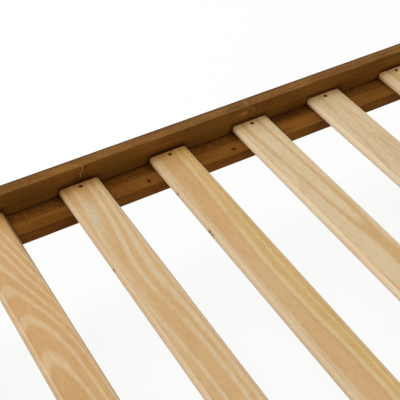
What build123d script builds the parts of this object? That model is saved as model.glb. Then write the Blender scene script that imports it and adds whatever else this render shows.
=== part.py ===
from build123d import *
import os

# A slatted base for a small child's bed. Two side rails are bolted between two end
# frames, a ledge runs along the inside of each side rail, and bullnosed slats lie across
# the bed with one screw down into the ledge at each end.
# Millimetres, +Z up. The origin lies on the floor under the middle of the base.
# +X runs along the bed from head to foot, +Y across it from the front to the back rail.

# Mattress that the base takes
mattress_length = 1400
mattress_width = 700
mattress_play = 4               # on each side, between the posts

# Heights
slat_top = 230                  # above the floor
rail_stand = 29                 # rails above the slats, so the mattress can't slide off
post_stand = 12                 # posts above the rails

# Posts
post_side = 45
post_edge = 4
post_top_bevel = 3
post_foot_bevel = 1.5

# Side rails and end rails
rail_thickness = 19
rail_height = 95
rail_edge = 1.2
rail_inset = 6                  # inner face of a rail behind the inner face of its post

# Ledges
ledge_width = 45
ledge_height = 20
ledge_edge = 1.2
ledge_end_gap = 10              # from the end of a ledge to the post

# Slats
slat_count = 10
slat_width = 63
slat_thickness = 12.5
slat_end_gap = 2                # from the end of a slat to the side rail
slat_margin = 26                # from the first slat's edge to the end rail
slat_drift = (1, 0, -2, 0, 0, 1, -4, -5, -1, 1)                # along X: set by hand, so
slat_slide = (0.6, -0.4, 0, 0.6, -1.2, 0.6, 1.2, 0, -0.8, 0.4)  # none is quite in its place

# Spare pilot holes, drilled in the ledges for another spacing of the slats
spare_hole_slats = (4, 5)
spare_hole_offset = 49          # from the slat's middle, towards the head
spare_hole_from_rail = 35
spare_hole_radius = 2.6
spare_hole_depth = 12

# Countersunk wood screws
head_angle = 90
screw_fit = 0.05                # between a screw and the hole that it cut
slat_screw_radius = 1.6
slat_screw_head = 3.2
slat_screw_length = 25
slat_screw_sink = 0.5           # head below the face of the slat
slat_screw_from_end = 7
ledge_screw_radius = 2
ledge_screw_head = 4
ledge_screw_length = 48
ledge_screw_bore = 10           # depth of the counterbore in the ledge's front
ledge_screw_bore_radius = 5
ledge_screw_every = 3           # one under every third slat
ledge_screw_offset = 16         # beside the slat's own screw
screw_tip = 4

# Bolts, barrel nuts and dowels of the corner joints
bolt_radius = 3
bolt_head_radius = 7
bolt_head_height = 2.5
bolt_head_bevel = 0.8
bolt_length = 81                # under the head
bolt_end_bevel = 0.8
bolt_sink = 1.5                 # head below the end face of the post
bolt_past_nut = 6               # end of the bolt beyond the middle of its nut
bolt_clearance = 0.25
bolt_from_edge = 15             # from the top and bottom edges of a side rail
socket_across_flats = 4
socket_depth = 1.8
nut_radius = 5
nut_length = 12
nut_fit = 0.1
nut_slot_width = 1.4
nut_slot_depth = 1.2
dowel_radius = 4
dowel_length = 38
dowel_fit = 0.05
dowel_end_play = 1              # spare depth of a dowel hole
dowel_bevel = 1
end_dowel_from_edge = 25        # from the top and bottom edges of an end rail

# Glides under the posts
glide_radius = 14
glide_thickness = 3
glide_bevel = 1
glide_pin_radius = 1.5
glide_pin_length = 16

# Worked out
post_x = mattress_length / 2 + mattress_play + post_side / 2
post_y = mattress_width / 2 + mattress_play + post_side / 2
side_rail_length = mattress_length + 2 * mattress_play
end_rail_length = mattress_width + 2 * mattress_play
rail_top = slat_top + rail_stand
rail_bottom = rail_top - rail_height
rail_middle = (rail_top + rail_bottom) / 2
side_rail_face = end_rail_length / 2 + rail_inset       # Y of a side rail's inner face
side_rail_y = side_rail_face + rail_thickness / 2
end_rail_face = side_rail_length / 2 + rail_inset       # X of an end rail's inner face
end_rail_x = end_rail_face + rail_thickness / 2
post_height = rail_top + post_stand - glide_thickness
ledge_length = side_rail_length - 2 * ledge_end_gap
ledge_y = side_rail_face - ledge_width / 2
ledge_top = slat_top - slat_thickness
ledge_screw_seat = side_rail_face - ledge_width + ledge_screw_bore   # Y of the screw heads
slat_length = 2 * (side_rail_face - slat_end_gap)
slat_pitch = (2 * (end_rail_face - slat_margin) - slat_width) / (slat_count - 1)
bolt_heights = (rail_top - bolt_from_edge, rail_bottom + bolt_from_edge)
end_dowel_heights = (rail_top - end_dowel_from_edge, rail_bottom + end_dowel_from_edge)
dowel_hole_depth = dowel_length / 2 + dowel_end_play / 2
bolt_seat = post_x + post_side / 2 - bolt_sink - bolt_head_height    # X under the head
nut_x = bolt_seat - bolt_length + bolt_past_nut

ends = {"head": -1, "foot": 1}
sides = {"front": -1, "back": 1}
os.makedirs("parts", exist_ok=True)


def slat_place(number):
    x = (number - (slat_count - 1) / 2) * slat_pitch + slat_drift[number % len(slat_drift)]
    return x, slat_slide[number % len(slat_slide)]


def slat_screw_places(side):
    reach = slat_length / 2 - slat_screw_from_end
    return [(x, y + side * reach) for x, y in map(slat_place, range(slat_count))]


def ledge_screw_xs():
    return [slat_place(number)[0] + ledge_screw_offset
            for number in range(0, slat_count, ledge_screw_every)]


def spare_hole_xs(side):
    # The two ledges are the same piece, turned end for end
    return [side * (slat_place(number)[0] - spare_hole_offset) for number in spare_hole_slats]


def across(side, x, y, z):
    # A plane whose normal points into the bed from that side
    return Plane(origin=(x, y, z), x_dir=(side, 0, 0), z_dir=(0, -side, 0))


def along(end, x, y, z):
    # A plane whose normal points out of the bed at that end
    return Plane(origin=(x, y, z), x_dir=(0, end, 0), z_dir=(end, 0, 0))


def finish(builder, name):
    builder.part.label = name
    export_step(builder.part, f"parts/{name}.step")


# Slats: bullnosed on both long edges, sawn square at the ends
for number in range(slat_count):
    slat_x, slat_y = slat_place(number)
    with BuildPart() as slat:
        with BuildSketch(Plane.XZ.offset(-slat_y - slat_length / 2)):
            with Locations((slat_x, slat_top - slat_thickness / 2)):
                SlotOverall(slat_width, slat_thickness)
        extrude(amount=slat_length)
        with Locations(*[(slat_x, slat_screw_places(side)[number][1], slat_top)
                         for side in sides.values()]):
            CounterSinkHole(slat_screw_radius + screw_fit,
                            slat_screw_head + slat_screw_sink + screw_fit,
                            counter_sink_angle=head_angle)
    finish(slat, f"slat_{number + 1:02d}")


# Ledges: the slats' screws go down into the top, the ledge's own into the rail behind
for side_name, side in sides.items():
    ledge_front = side * (side_rail_face - ledge_width)
    with BuildPart() as ledge:
        with BuildSketch(Plane.YZ.offset(-ledge_length / 2)):
            with Locations((side * ledge_y, ledge_top - ledge_height / 2)):
                Rectangle(ledge_width, ledge_height)
            fillet(vertices(), ledge_edge)
        extrude(amount=ledge_length)
        with Locations(*[(x, y, ledge_top) for x, y in slat_screw_places(side)]):
            Hole(slat_screw_radius + screw_fit, slat_screw_length - slat_thickness + screw_fit)
        with Locations(*[(x, side * (side_rail_face - spare_hole_from_rail), ledge_top)
                         for x in spare_hole_xs(side)]):
            Hole(spare_hole_radius, spare_hole_depth)
        with Locations(*[across(side, x, ledge_front, ledge_top - ledge_height / 2)
                         for x in ledge_screw_xs()]):
            Hole(ledge_screw_bore_radius, ledge_screw_bore)
        with Locations(*[across(side, x, ledge_screw_seat * side, ledge_top - ledge_height / 2)
                         for x in ledge_screw_xs()]):
            CounterSinkHole(ledge_screw_radius + screw_fit, ledge_screw_head + screw_fit,
                            ledge_width, head_angle)
    finish(ledge, f"ledge_{side_name}")


# Side rails: barrel nuts go in from the inner face, bolts and a dowel into the ends
for side_name, side in sides.items():
    with BuildPart() as side_rail:
        with BuildSketch(Plane.YZ.offset(-side_rail_length / 2)):
            with Locations((side * side_rail_y, rail_middle)):
                Rectangle(rail_thickness, rail_height)
            fillet(vertices(), rail_edge)
        extrude(amount=side_rail_length)
        for end in ends.values():
            end_x = end * side_rail_length / 2
            with Locations(*[along(end, end_x, side * side_rail_y, z) for z in bolt_heights]):
                Hole(bolt_radius + bolt_clearance,
                     bolt_length - (bolt_seat - side_rail_length / 2) + bolt_clearance)
            with Locations(along(end, end_x, side * side_rail_y, rail_middle)):
                Hole(dowel_radius + dowel_fit, dowel_hole_depth)
            with Locations(*[across(side, end * nut_x, side * side_rail_face, z)
                             for z in bolt_heights]):
                Hole(nut_radius + nut_fit, (rail_thickness + nut_length) / 2 + nut_fit)
        with Locations(*[across(side, x, side * side_rail_face, ledge_top - ledge_height / 2)
                         for x in ledge_screw_xs()]):
            Hole(ledge_screw_radius + screw_fit,
                 ledge_screw_bore + ledge_screw_length - ledge_width + screw_fit)
    finish(side_rail, f"side_rail_{side_name}")


# End rails: dowelled and glued between two posts
for end_name, end in ends.items():
    with BuildPart() as end_rail:
        with BuildSketch(Plane.XZ.offset(-end_rail_length / 2)):
            with Locations((end * end_rail_x, rail_middle)):
                Rectangle(rail_thickness, rail_height)
            fillet(vertices(), rail_edge)
        extrude(amount=end_rail_length)
        with Locations(*[across(-side, end * end_rail_x, side * end_rail_length / 2, z)
                         for side in sides.values() for z in end_dowel_heights]):
            Hole(dowel_radius + dowel_fit, dowel_hole_depth)
    finish(end_rail, f"{end_name}_rail")


# Posts: bolted to the side rails from outside, dowelled to the end rail
for end_name, end in ends.items():
    for side_name, side in sides.items():
        with BuildPart() as post:
            with BuildSketch(Plane.XY.offset(glide_thickness)):
                with Locations((end * post_x, side * post_y)):
                    Rectangle(post_side, post_side)
                fillet(vertices(), post_edge)
            extrude(amount=post_height)
            chamfer(post.edges().group_by(Axis.Z)[-1], post_top_bevel)
            chamfer(post.edges().group_by(Axis.Z)[0], post_foot_bevel)
            outer_x = end * (post_x + post_side / 2)
            with Locations(*[along(end, outer_x, side * side_rail_y, z) for z in bolt_heights]):
                CounterBoreHole(bolt_radius + bolt_clearance, bolt_head_radius + bolt_clearance,
                                bolt_sink + bolt_head_height, post_side)
            with Locations(along(-end, end * side_rail_length / 2, side * side_rail_y,
                                 rail_middle)):
                Hole(dowel_radius + dowel_fit, dowel_hole_depth)
            with Locations(*[across(side, end * end_rail_x, side * end_rail_length / 2, z)
                             for z in end_dowel_heights]):
                Hole(dowel_radius + dowel_fit, dowel_hole_depth)
            with Locations(Plane(origin=(end * post_x, side * post_y, glide_thickness),
                                 z_dir=(0, 0, -1))):
                Hole(glide_pin_radius + screw_fit, glide_pin_length + screw_fit)
        finish(post, f"post_{end_name}_{side_name}")


# One screw of each size, head up, with the rim of its head at the origin
def wood_screw(radius, head, length):
    with BuildPart() as screw:
        with BuildSketch(Plane.XZ):
            with BuildLine():
                Polyline((0, 0), (head, 0), (radius, radius - head), (radius, screw_tip - length),
                         (0, -length), close=True)
            make_face()
        revolve(axis=Axis.Z)
    return screw.part


slat_screw = wood_screw(slat_screw_radius, slat_screw_head, slat_screw_length - slat_screw_sink)
with BuildPart() as slat_screws:
    with Locations(*[(x, y, slat_top - slat_screw_sink)
                     for side in sides.values() for x, y in slat_screw_places(side)]):
        add(slat_screw)
finish(slat_screws, "slat_screws")

ledge_screw = wood_screw(ledge_screw_radius, ledge_screw_head, ledge_screw_length)
with BuildPart() as ledge_screws:
    with Locations(*[across(side, x, ledge_screw_seat * side, ledge_top - ledge_height / 2)
                     for side in sides.values() for x in ledge_screw_xs()]):
        add(ledge_screw)
finish(ledge_screws, "ledge_screws")


# Bed bolts: a wide flat head with a hexagon socket
with BuildPart() as bed_bolt:
    with BuildSketch():
        Circle(bolt_head_radius)
    extrude(amount=bolt_head_height)
    chamfer(bed_bolt.edges().group_by(Axis.Z)[-1], bolt_head_bevel)
    with BuildSketch():
        Circle(bolt_radius)
    extrude(amount=-bolt_length)
    chamfer(bed_bolt.edges().group_by(Axis.Z)[0], bolt_end_bevel)
    with BuildSketch(Plane.XY.offset(bolt_head_height)):
        RegularPolygon(socket_across_flats / 2, 6, major_radius=False)
    extrude(amount=-socket_depth, mode=Mode.SUBTRACT)

with BuildPart() as bed_bolts:
    with Locations(*[along(end, end * bolt_seat, side * side_rail_y, z)
                     for end in ends.values() for side in sides.values() for z in bolt_heights]):
        add(bed_bolt.part)
finish(bed_bolts, "bed_bolts")


# Barrel nuts: a cross hole for the bolt and a slot to turn it in line
with BuildPart() as barrel_nut:
    with BuildSketch(Plane.XY.offset(-nut_length / 2)):
        Circle(nut_radius)
    extrude(amount=nut_length)
    with BuildSketch(Plane.XY.offset(nut_length / 2)):
        Rectangle(2 * nut_radius, nut_slot_width)
    extrude(amount=-nut_slot_depth, mode=Mode.SUBTRACT)
    with Locations(Plane.YZ):
        Hole(bolt_radius + screw_fit)

with BuildPart() as barrel_nuts:
    with Locations(*[across(side, end * nut_x, side * side_rail_y, z)
                     for end in ends.values() for side in sides.values() for z in bolt_heights]):
        add(barrel_nut.part)
finish(barrel_nuts, "barrel_nuts")


# Dowels: one locates each side rail on its post, two hold each end of an end rail
with BuildPart() as dowel:
    with BuildSketch(Plane.XY.offset(-dowel_length / 2)):
        Circle(dowel_radius)
    extrude(amount=dowel_length)
    chamfer(dowel.edges().filter_by(GeomType.CIRCLE), dowel_bevel)

with BuildPart() as side_rail_dowels:
    with Locations(*[along(end, end * side_rail_length / 2, side * side_rail_y, rail_middle)
                     for end in ends.values() for side in sides.values()]):
        add(dowel.part)
finish(side_rail_dowels, "side_rail_dowels")

with BuildPart() as end_rail_dowels:
    with Locations(*[across(side, end * end_rail_x, side * end_rail_length / 2, z)
                     for end in ends.values() for side in sides.values()
                     for z in end_dowel_heights]):
        add(dowel.part)
finish(end_rail_dowels, "end_rail_dowels")


# Glides: a round pad on a pin, knocked into the foot of each post
with BuildPart() as glide:
    with BuildSketch():
        Circle(glide_radius)
    extrude(amount=glide_thickness)
    chamfer(glide.edges().group_by(Axis.Z)[0], glide_bevel)
    with BuildSketch(Plane.XY.offset(glide_thickness)):
        Circle(glide_pin_radius)
    extrude(amount=glide_pin_length)

with BuildPart() as floor_glides:
    with Locations(*[(end * post_x, side * post_y, 0)
                     for end in ends.values() for side in sides.values()]):
        add(glide.part)
finish(floor_glides, "floor_glides")
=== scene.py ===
import random
from math import cos, pi, radians

import bmesh
import bpy
from mathutils import Matrix, Vector


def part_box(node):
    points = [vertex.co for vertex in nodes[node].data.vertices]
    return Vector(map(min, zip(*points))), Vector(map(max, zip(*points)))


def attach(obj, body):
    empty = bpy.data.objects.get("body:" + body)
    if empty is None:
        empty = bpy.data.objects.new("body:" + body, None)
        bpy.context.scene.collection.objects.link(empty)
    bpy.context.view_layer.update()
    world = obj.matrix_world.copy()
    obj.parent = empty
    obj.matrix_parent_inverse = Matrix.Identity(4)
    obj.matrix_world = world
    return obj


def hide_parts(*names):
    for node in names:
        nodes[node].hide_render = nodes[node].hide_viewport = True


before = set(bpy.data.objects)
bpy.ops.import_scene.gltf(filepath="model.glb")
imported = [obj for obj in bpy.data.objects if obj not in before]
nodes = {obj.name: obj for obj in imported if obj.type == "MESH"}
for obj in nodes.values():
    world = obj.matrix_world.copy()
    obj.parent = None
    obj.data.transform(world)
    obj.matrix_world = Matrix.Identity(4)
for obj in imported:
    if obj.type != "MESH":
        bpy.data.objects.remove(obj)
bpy.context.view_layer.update()
mm = 0.001
print("frame loaded:", len(nodes), "CAD nodes")


def placed(name, data, place=(0, 0, 0), aim=None):    # a new object, turned to look at its aim
    thing = bpy.data.objects.new(name, data)
    bpy.context.scene.collection.objects.link(thing)
    thing.location = place
    if aim:
        look = Vector(aim) - Vector(place)
        thing.rotation_euler = look.to_track_quat("-Z", "Y").to_euler()
    return thing


# ---- camera

view = {
    "place": (-0.578, -0.602, 1.122),
    "lookAt": (-0.085, 0.240, 0.230),    # a point on top of the slats
    "lens": 84.5,
    "sensorWidth": 36,
    "farthest": 50,
}


def makeCamera():
    data = bpy.data.cameras.new("bedCamera")
    data.lens = view["lens"]
    data.sensor_width = view["sensorWidth"]
    data.clip_end = view["farthest"]
    bpy.context.scene.camera = placed("bedCamera", data, view["place"], view["lookAt"])


makeCamera()
print("camera placed")


# ---- node helpers

class Wire:    # a node's output, which takes part in sums as a number or a vector does
    def __init__(self, socket):
        self.socket = socket
        self.tree = socket.id_data

    def __add__(self, other):
        return reckon("ADD", self, other)

    def __sub__(self, other):
        return reckon("SUBTRACT", self, other)

    def __mul__(self, other):
        return reckon("MULTIPLY", self, other)

    def __truediv__(self, other):
        return reckon("DIVIDE", self, other)

    def __abs__(self):
        return reckon("ABSOLUTE", self)


def plug(node, values):    # links wires, and sets plain values, with 1 as a colour's alpha
    for name, value in values.items():
        socket = node.inputs[name]
        if isinstance(value, Wire):
            value.tree.links.new(value.socket, socket)
        else:
            socket.default_value = (*value, 1) if socket.type == "RGBA" and len(value) == 3 else value


def addNode(tree, kind, values=None, **settings):
    node = tree.nodes.new(kind)
    for name, value in settings.items():
        setattr(node, name, value)
    plug(node, values or {})
    return node


def outlet(node, which=0):
    return Wire(node.outputs[which])


def reckon(operation, first, *others, clamp=False):    # with vectors where the first is one
    kind = "ShaderNodeVectorMath" if first.socket.type == "VECTOR" else "ShaderNodeMath"
    node = addNode(first.tree, kind, dict(enumerate((first, *others))), operation=operation)
    if clamp:
        node.use_clamp = True
    return outlet(node, "Value" if operation in ("LENGTH", "DOT_PRODUCT") else 0)


def bell(square, steepness=1, clamp=False):    # 1 where the square is 0, falling away round it
    return reckon("EXPONENT", square * -steepness, clamp=clamp)


def dot(first, second):
    return reckon("DOT_PRODUCT", first, second)


def joined(x, y, z=0):
    return outlet(addNode(x.tree, "ShaderNodeCombineXYZ", {0: x, 1: y, 2: z}))


def parted(vector):
    node = addNode(vector.tree, "ShaderNodeSeparateXYZ", {0: vector})
    return [outlet(node, axis) for axis in "XYZ"]


def rise(value, low, high, bottom=0, top=1):    # a smooth step from low to high
    return outlet(addNode(value.tree, "ShaderNodeMapRange", {
        "Value": value, "From Min": low, "From Max": high, "To Min": bottom, "To Max": top},
        interpolation_type="SMOOTHSTEP"))


def fall(value, low, high, top=1):    # a smooth step down from low to high
    return rise(value, low, high, top, 0)


def mix(first, second, share, blend="MIX"):    # 6, 7 and 2 are the node's sockets for colours
    tree = next(value.tree for value in (first, second, share) if isinstance(value, Wire))
    return outlet(addNode(tree, "ShaderNodeMix", {0: share, 6: first, 7: second},
                       data_type="RGBA", blend_type=blend), 2)


def shade(colour, tint, share=1):
    return mix(colour, tint, share, "MULTIPLY")


def newGroup(name, values="", vectors=""):    # the tree, then wires for place, vectors and values
    tree = bpy.data.node_groups.new(name, "ShaderNodeTree")
    for kind, labels in (("Vector", "place " + vectors), ("Float", values)):
        for label in labels.split():
            tree.interface.new_socket(label, in_out="INPUT", socket_type="NodeSocket" + kind)
    given = tree.nodes.new("NodeGroupInput").outputs
    return tree, *[Wire(socket) for socket in given if socket.name]


def closeGroup(tree, **results):
    for label in results:
        tree.interface.new_socket(label, in_out="OUTPUT", socket_type="NodeSocketFloat")
    plug(tree.nodes.new("NodeGroupOutput"), results)
    return tree


def useGroup(group, place, **values):    # its outputs by name, or the only one by itself
    node = addNode(place.tree, "ShaderNodeGroup", {"place": place, **values}, node_tree=group)
    results = {socket.name: Wire(socket) for socket in node.outputs}
    return results if len(results) > 1 else results.popitem()[1]


# ---- stage

stage = {
    "floorSize": 14,
    "floorColour": (0.80, 0.80, 0.80),
    "white": (1, 1, 1),    # of the lit world and of the floor as it is seen
    "shownWhite": 0.84,    # share of plain white in the floor, the rest keeps the shadow
    "whiteLight": 1.05,
    "plainBeyond": (1.4, 4),    # farther out the floor is plain white, so no skyline shows
    "worldStrength": 0.44,
    "lampsAim": (0, 0, 0.2),
    "keyLamp": {"place": (-2.2, 1.4, 3.2), "size": 2.5, "power": 98},
    "fillLamp": {"place": (1.6, -1.5, 1.8), "size": 2.4, "power": 16},
}


def finishedPiece(name, bm, smoothBelow=None):
    mesh = bpy.data.meshes.new(name)
    bm.to_mesh(mesh)
    bm.free()
    if smoothBelow:
        mesh.polygons.foreach_set("use_smooth", [True] * len(mesh.polygons))
        mesh.set_sharp_from_angle(angle=radians(smoothBelow))
    return placed(name, mesh)


def seenDirectly(tree):
    path = addNode(tree, "ShaderNodeLightPath")
    seen = outlet(path, "Is Camera Ray") + outlet(path, "Is Glossy Ray")
    return reckon("ADD", seen, outlet(path, "Is Transmission Ray"), clamp=True)


def whiteWhenSeen(tree, plain, white, share, output):
    both = addNode(tree, "ShaderNodeMixShader", {0: share, 1: outlet(plain), 2: outlet(white)})
    addNode(tree, output, {"Surface": outlet(both)})


def makeFloor():
    bm = bmesh.new()
    bmesh.ops.create_grid(bm, x_segments=1, y_segments=1, size=stage["floorSize"] / 2)
    floor = finishedPiece("floor", bm)
    material = bpy.data.materials.new("paleFloor")
    material.use_nodes = True
    tree = material.node_tree
    tree.nodes.clear()
    plain = addNode(tree, "ShaderNodeBsdfDiffuse", {"Color": stage["floorColour"]})
    white = addNode(tree, "ShaderNodeEmission", {
        "Color": stage["white"], "Strength": stage["whiteLight"]})
    away = reckon("LENGTH", outlet(addNode(tree, "ShaderNodeTexCoord"), "Object"))
    share = seenDirectly(tree) * rise(away, *stage["plainBeyond"], stage["shownWhite"], 1)
    whiteWhenSeen(tree, plain, white, share, "ShaderNodeOutputMaterial")
    floor.data.materials.append(material)


def makeWorld():
    world = bpy.data.worlds.new("studio")
    bpy.context.scene.world = world
    world.use_nodes = True
    tree = world.node_tree
    tree.nodes.clear()
    soft, white = [addNode(tree, "ShaderNodeBackground", {"Color": stage["white"], "Strength": strength})
                   for strength in (stage["worldStrength"], 1)]
    whiteWhenSeen(tree, soft, white, seenDirectly(tree), "ShaderNodeOutputWorld")


def makeLamp(name):
    data = bpy.data.lights.new(name, "AREA")
    data.size = stage[name]["size"]
    data.energy = stage[name]["power"]
    placed(name, data, stage[name]["place"], stage["lampsAim"])


makeFloor()
makeWorld()
makeLamp("keyLamp")
makeLamp("fillLamp")
bpy.context.scene.view_settings.view_transform = "Standard"
print("stage lit")


# ---- shared effects, in board space: millimetres, x across the board, y along it and z deep

def makeStreaks():    # noise drawn out along the board
    tree, place, width, length, detail, seed = newGroup("streaks", "width length detail seed")
    field = addNode(tree, "ShaderNodeTexNoise", {
        "Vector": place / joined(width, length, width), "W": seed, "Scale": 1, "Detail": detail,
        "Roughness": 0.5}, noise_dimensions="4D")
    return closeGroup(tree, value=outlet(field))


streaks = makeStreaks()


def noise(place, look, seed=0):    # look: width, length, detail and what it adds to the seed
    width, length, detail, extra = look
    return useGroup(streaks, place, width=width, length=length, detail=detail, seed=seed + extra)


def makeSwell():    # a soft hump that lifts or lowers a value round one place
    tree, place, base, across, along, width, length, lift = newGroup(
        "swell", "base across along width length lift")
    away = (place - joined(across, along)) / joined(width, length, 1) * (1, 1, 0)
    return closeGroup(tree, value=bell(dot(away, away)) * lift + base)


def makeGrowthRings():    # how far a point lies from the heart of the tree
    tree, place, heartAcross, heartDepth, lean, taper, push, wander, size, seed = newGroup(
        "growthRings", "heartAcross heartDepth lean taper push wander wanderSize seed")
    across, along, deep = parted(place)
    radius = reckon("LENGTH", joined(across - (along * lean + heartAcross), deep - heartDepth))
    stray = noise(place, (size, size * 4, 2, 0), seed) * 2 - 1
    return closeGroup(tree, distance=stray * wander + (along * taper + radius + push))


ductEdge = (0.06, 0.16)    # of the width of a cell


def makeResinMarks():    # short dark dashes where resin ducts were cut
    tree, place, width, length, share = newGroup("resinMarks", "width length share")
    cell = addNode(tree, "ShaderNodeTexVoronoi", {
        "Scale": 1, "Vector": place / joined(width, length, width)}, feature="F1")
    chance = outlet(addNode(tree, "ShaderNodeSeparateColor", {0: outlet(cell, "Color")}))
    mark = fall(outlet(cell, "Distance"), *ductEdge)
    return closeGroup(tree, mask=mark * reckon("LESS_THAN", chance, share))


def makeArris():    # 1 on the corners of a board, 0 on its faces
    tree, place, halfSize, reach = newGroup("arris", "reach", "halfSize")
    across, along, deep = parted(halfSize - abs(place))
    low, high = reckon("MINIMUM", across, along), reckon("MAXIMUM", across, along)
    middle = reckon("MAXIMUM", low, reckon("MINIMUM", high, deep))
    return closeGroup(tree, mask=fall(middle, 0, reach))


endSkin = (0.15, 0.5)    # how deep the end grain shows


def makeSawnEnd():    # face is 1 on the end grain, near fades in towards it
    tree, place, halfLength, reach = newGroup("sawnEnd", "halfLength reach")
    across, along, deep = parted(place)
    gap = halfLength - abs(along)
    return closeGroup(tree, face=fall(gap, *endSkin), near=fall(gap, 0, reach))


planerShape = {"pitch": 3.3, "slant": 0.12, "shift": (9, 30, 2, 0), "shiftBy": 1.6,
               "patch": (18, 50, 2, 3), "patchEdge": (0.36, 0.60)}


def makePlanerMarks():    # the close ripples that planer knives leave across a board
    tree, place, seed = newGroup("planerMarks", "seed")
    shape = planerShape
    across, along, deep = parted(place)
    run = noise(place, shape["shift"], seed) * shape["shiftBy"] + (across * shape["slant"] + along)
    patch = rise(noise(place, shape["patch"], seed), *shape["patchEdge"])
    return closeGroup(tree, height=reckon("SINE", run * (2 * pi / shape["pitch"])) * patch)


knotShape = {"wobble": (4, 6, 2, 0), "uneven": (0.7, 0.65), "core": (0.55, 1.05),
             "rimInside": (0.6, 1), "rimOutside": (1.05, 1.6), "rimGaps": (0.40, 0.62),
             "swirls": 16, "pushSteepness": 0.35}


def makeKnot():    # core and rim are masks, swirl is rings inside it, push bends the grain round it
    tree, place, centre, size = newGroup("knot", "", "centre size")
    shape = knotShape
    wobble, (most, least) = noise(place, shape["wobble"]), shape["uneven"]
    reach = reckon("LENGTH", (place - centre) / size) * (wobble * most + least)
    rim = rise(reach, *shape["rimInside"]) * fall(reach, *shape["rimOutside"])
    return closeGroup(tree, core=fall(reach, *shape["core"]), rim=rim * rise(wobble, *shape["rimGaps"]),
                      swirl=reckon("SINE", reach * shape["swirls"]) * 0.5 + 0.5,
                      push=bell(reach * reach, shape["pushSteepness"]))


crackShape = {"halfWidth": 0.3, "wobble": (6, 6, 3, 0), "strays": 3, "fadesFrom": 0.8,
              "side": (-0.5, 0.5), "lip": -1.6, "lipWidth": 0.8}


def makeCrack():    # a thin split in the plane square to normal, as far as reach from centre
    tree, place, centre, normal, reach = newGroup("crack", "reach", "centre normal")
    shape, half, away = crackShape, crackShape["halfWidth"], place - centre
    off = dot(away, normal) + (noise(place, shape["wobble"]) - 0.5) * shape["strays"]
    near = fall(reckon("LENGTH", away), reach * shape["fadesFrom"], reach)
    lip = (off - shape["lip"]) / shape["lipWidth"]
    return closeGroup(tree, mask=fall(abs(off), half, half * 2) * near, beside=bell(lip * lip) * near,
                      side=fall(off, *shape["side"]))


blotShape = {"wobble": (3.5, 9, 3, 0), "strays": 5}


def makeBlot():    # a soft uneven spot in all three directions
    tree, place, centre, size, uneven = newGroup("blot", "uneven", "centre size")
    away = (place - centre) / size
    stray = (noise(place, blotShape["wobble"]) - 0.5) * (uneven * blotShape["strays"])
    return closeGroup(tree, mask=bell(dot(away, away) + stray, clamp=True))


hoopShape = {"wobble": (5, 12, 2, 0), "strays": 0.6, "radius": 1.3, "side": (-0.1, 0.5)}


def makeHoop():    # part of a soft ring, on the side that facing points to
    tree, place, centre, size, facing, thickness = newGroup("hoop", "thickness", "centre size facing")
    away = (place - centre) / size
    stray = noise(place, hoopShape["wobble"]) * hoopShape["strays"] - hoopShape["radius"]
    off = (reckon("LENGTH", away) + stray) / thickness
    return closeGroup(tree, mask=bell(off * off) * rise(dot(away, facing), *hoopShape["side"]))


swell, growthRings, resinMarks = makeSwell(), makeGrowthRings(), makeResinMarks()
arris, sawnEnd, planerMarks = makeArris(), makeSawnEnd(), makePlanerMarks()
knot, crack, blot, hoop = makeKnot(), makeCrack(), makeBlot(), makeHoop()
print("shared effects ready")


# ---- wood finishes

def newFinish(name, centre=(0, 0, 0), turn=(0, 0, 0)):    # its shader, and board space round centre
    material = bpy.data.materials.new(name)
    material.use_nodes = True
    tree = material.node_tree
    place = addNode(tree, "ShaderNodeMapping", {
        "Vector": outlet(addNode(tree, "ShaderNodeTexCoord"), "Object"), "Location": centre,
        "Rotation": turn, "Scale": (mm, mm, mm)}, vector_type="TEXTURE")
    return material, tree.nodes["Principled BSDF"], outlet(place)


def finishSurface(shader, colour, height, value, look):    # the roughness follows the value
    strength, depth = look["bump"]
    relief = addNode(colour.tree, "ShaderNodeBump", {
        "Strength": strength, "Distance": depth * mm, "Height": height})
    plug(shader, {"Base Color": colour, "Roughness": rise(value, *look["roughness"]),
                  "Normal": outlet(relief), **look["plain"]})


def dress(name, material):
    nodes[name].material_slots[0].material = material


def washed(colour, mask, share, tint):
    return shade(colour, tint, mask * share)


def textured(colour, place, seed, look):    # look: a noise, where it starts, stops and counts, a tint
    size, reach, tint = look
    value = noise(place, size, seed)
    return shade(colour, tint, rise(value, *reach)), value


def ramp(value, stops):    # stops: a place from 0 to 1 and its colour
    node = addNode(value.tree, "ShaderNodeValToRGB", {"Fac": value})
    elements = node.color_ramp.elements
    for number, (place, colour) in enumerate(stops):
        element = elements[number] if number < 2 else elements.new(1)
        element.position = place
        element.color = (*colour, 1)
    return outlet(node)


def ringColours(distance, rings, tones):    # rings: a tone, where it starts and where it ends
    first, last = rings[0][1], rings[-1][2]
    stops = [((edge - first) / (last - first), tones[tone]) for tone, *edges in rings for edge in edges]
    return ramp((distance - first) / (last - first), stops)


def evenBands(base, band, spots, soft, margin=10):    # bands of one tone on another
    rings, start = [], spots[0][0] - margin
    for spot, half in spots:
        rings += [(base, start, spot - half - soft), (band, spot - half, spot + half)]
        start = spot + half + soft
    return rings + [(base, start, spots[-1][0] + margin)]


def summedSwells(place, swells, base=0):
    for across, along, width, length, lift in swells:
        base = useGroup(swell, place, base=base, across=across, along=along, width=width,
                        length=length, lift=lift)
    return base


def ringDistance(place, board, look, push=0):
    across, depth = board["heart"]
    push = summedSwells(place, board.get("swells", ()), push)
    return useGroup(growthRings, place, heartAcross=across, heartDepth=depth, lean=board.get("lean", 0),
                    taper=board.get("taper", 0), push=push, seed=board["seed"], **look["stray"])


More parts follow.
